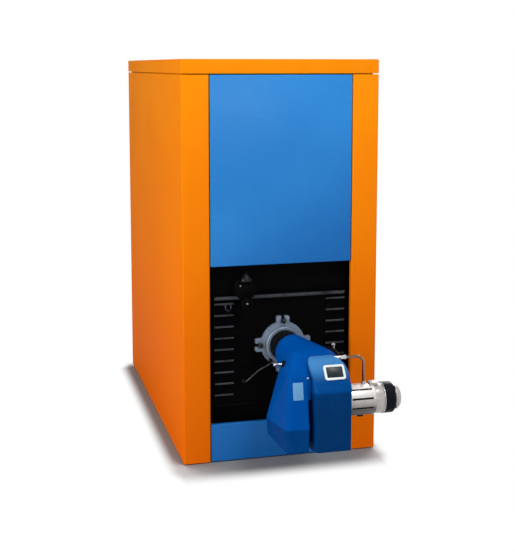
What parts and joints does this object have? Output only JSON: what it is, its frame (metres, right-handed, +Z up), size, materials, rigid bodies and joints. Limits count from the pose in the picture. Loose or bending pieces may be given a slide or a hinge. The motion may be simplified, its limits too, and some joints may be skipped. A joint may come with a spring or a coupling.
{
  "type": "industrial boiler",
  "caption": "Floor-standing industrial boiler with a folded sheet casing, a ribbed door and a forced-draught gas burner with a side motor.",
  "frame": {"origin": "middle of the casing's footprint on the floor, on the underside of the middle base bar", "axes": "+Z up, -Y towards the front with the burner, +X to the right as seen from the front"},
  "size_m": [0.75, 1.956, 1.5],
  "materials": {
    "casing_orange": "orange powder coat, satin",
    "panel_blue": "blue powder coat, satin",
    "burner_blue": "blue paint on cast metal",
    "door_black": "matt black heat-proof paint",
    "base_black": "black primer",
    "block_jacket": "insulation jacket",
    "cast_grey": "grey cast metal, matt",
    "bright_steel": "plated steel",
    "tube_black": "black heat-proof paint",
    "black_plastic": "black moulded plastic",
    "white_plastic": "white moulded plastic",
    "screen_dark": "dark blank screen",
    "motor_grey": "die-cast aluminium, light grey",
    "flue_steel": "galvanised steel",
    "brass_plain": "plain brass"
  },
  "bodies": {
    "root": {"base_rail_left": "base_black", "base_rail_right": "base_black", "base_crossbars": "base_black", "boiler_block": "block_jacket", "front_section": "door_black", "left_side_panel": "casing_orange", "right_side_panel": "casing_orange", "top_cover": "casing_orange", "upper_front_panel": "panel_blue", "lower_front_panel": "panel_blue", "rear_panel": "casing_orange", "burner_door": "door_black", "sight_port_tube": "door_black", "sight_port_housing": "door_black", "sight_port_cover": "door_black", "burner_flange": "cast_grey", "flange_nuts": "bright_steel", "blast_tube": "tube_black", "burner_housing": "burner_blue", "air_box": "burner_blue", "intake_grille": "black_plastic", "burner_hood": "burner_blue", "display_frame": "white_plastic", "display_screen": "screen_dark", "test_nipple": "bright_steel", "gas_inlet": "door_black", "inlet_nipple": "bright_steel", "motor_flange": "motor_grey", "motor_body": "motor_grey", "motor_end_shield": "motor_grey", "motor_fan_cowl": "black_plastic", "motor_end_cap": "motor_grey", "motor_conduit": "bright_steel", "conduit_glands": "bright_steel", "pressure_line": "bright_steel", "line_fittings": "bright_steel", "flue_collar": "flue_steel", "supply_connection": "base_black", "return_connection": "base_black", "drain_cock": "brass_plain"}
  },
  "joints": []
}
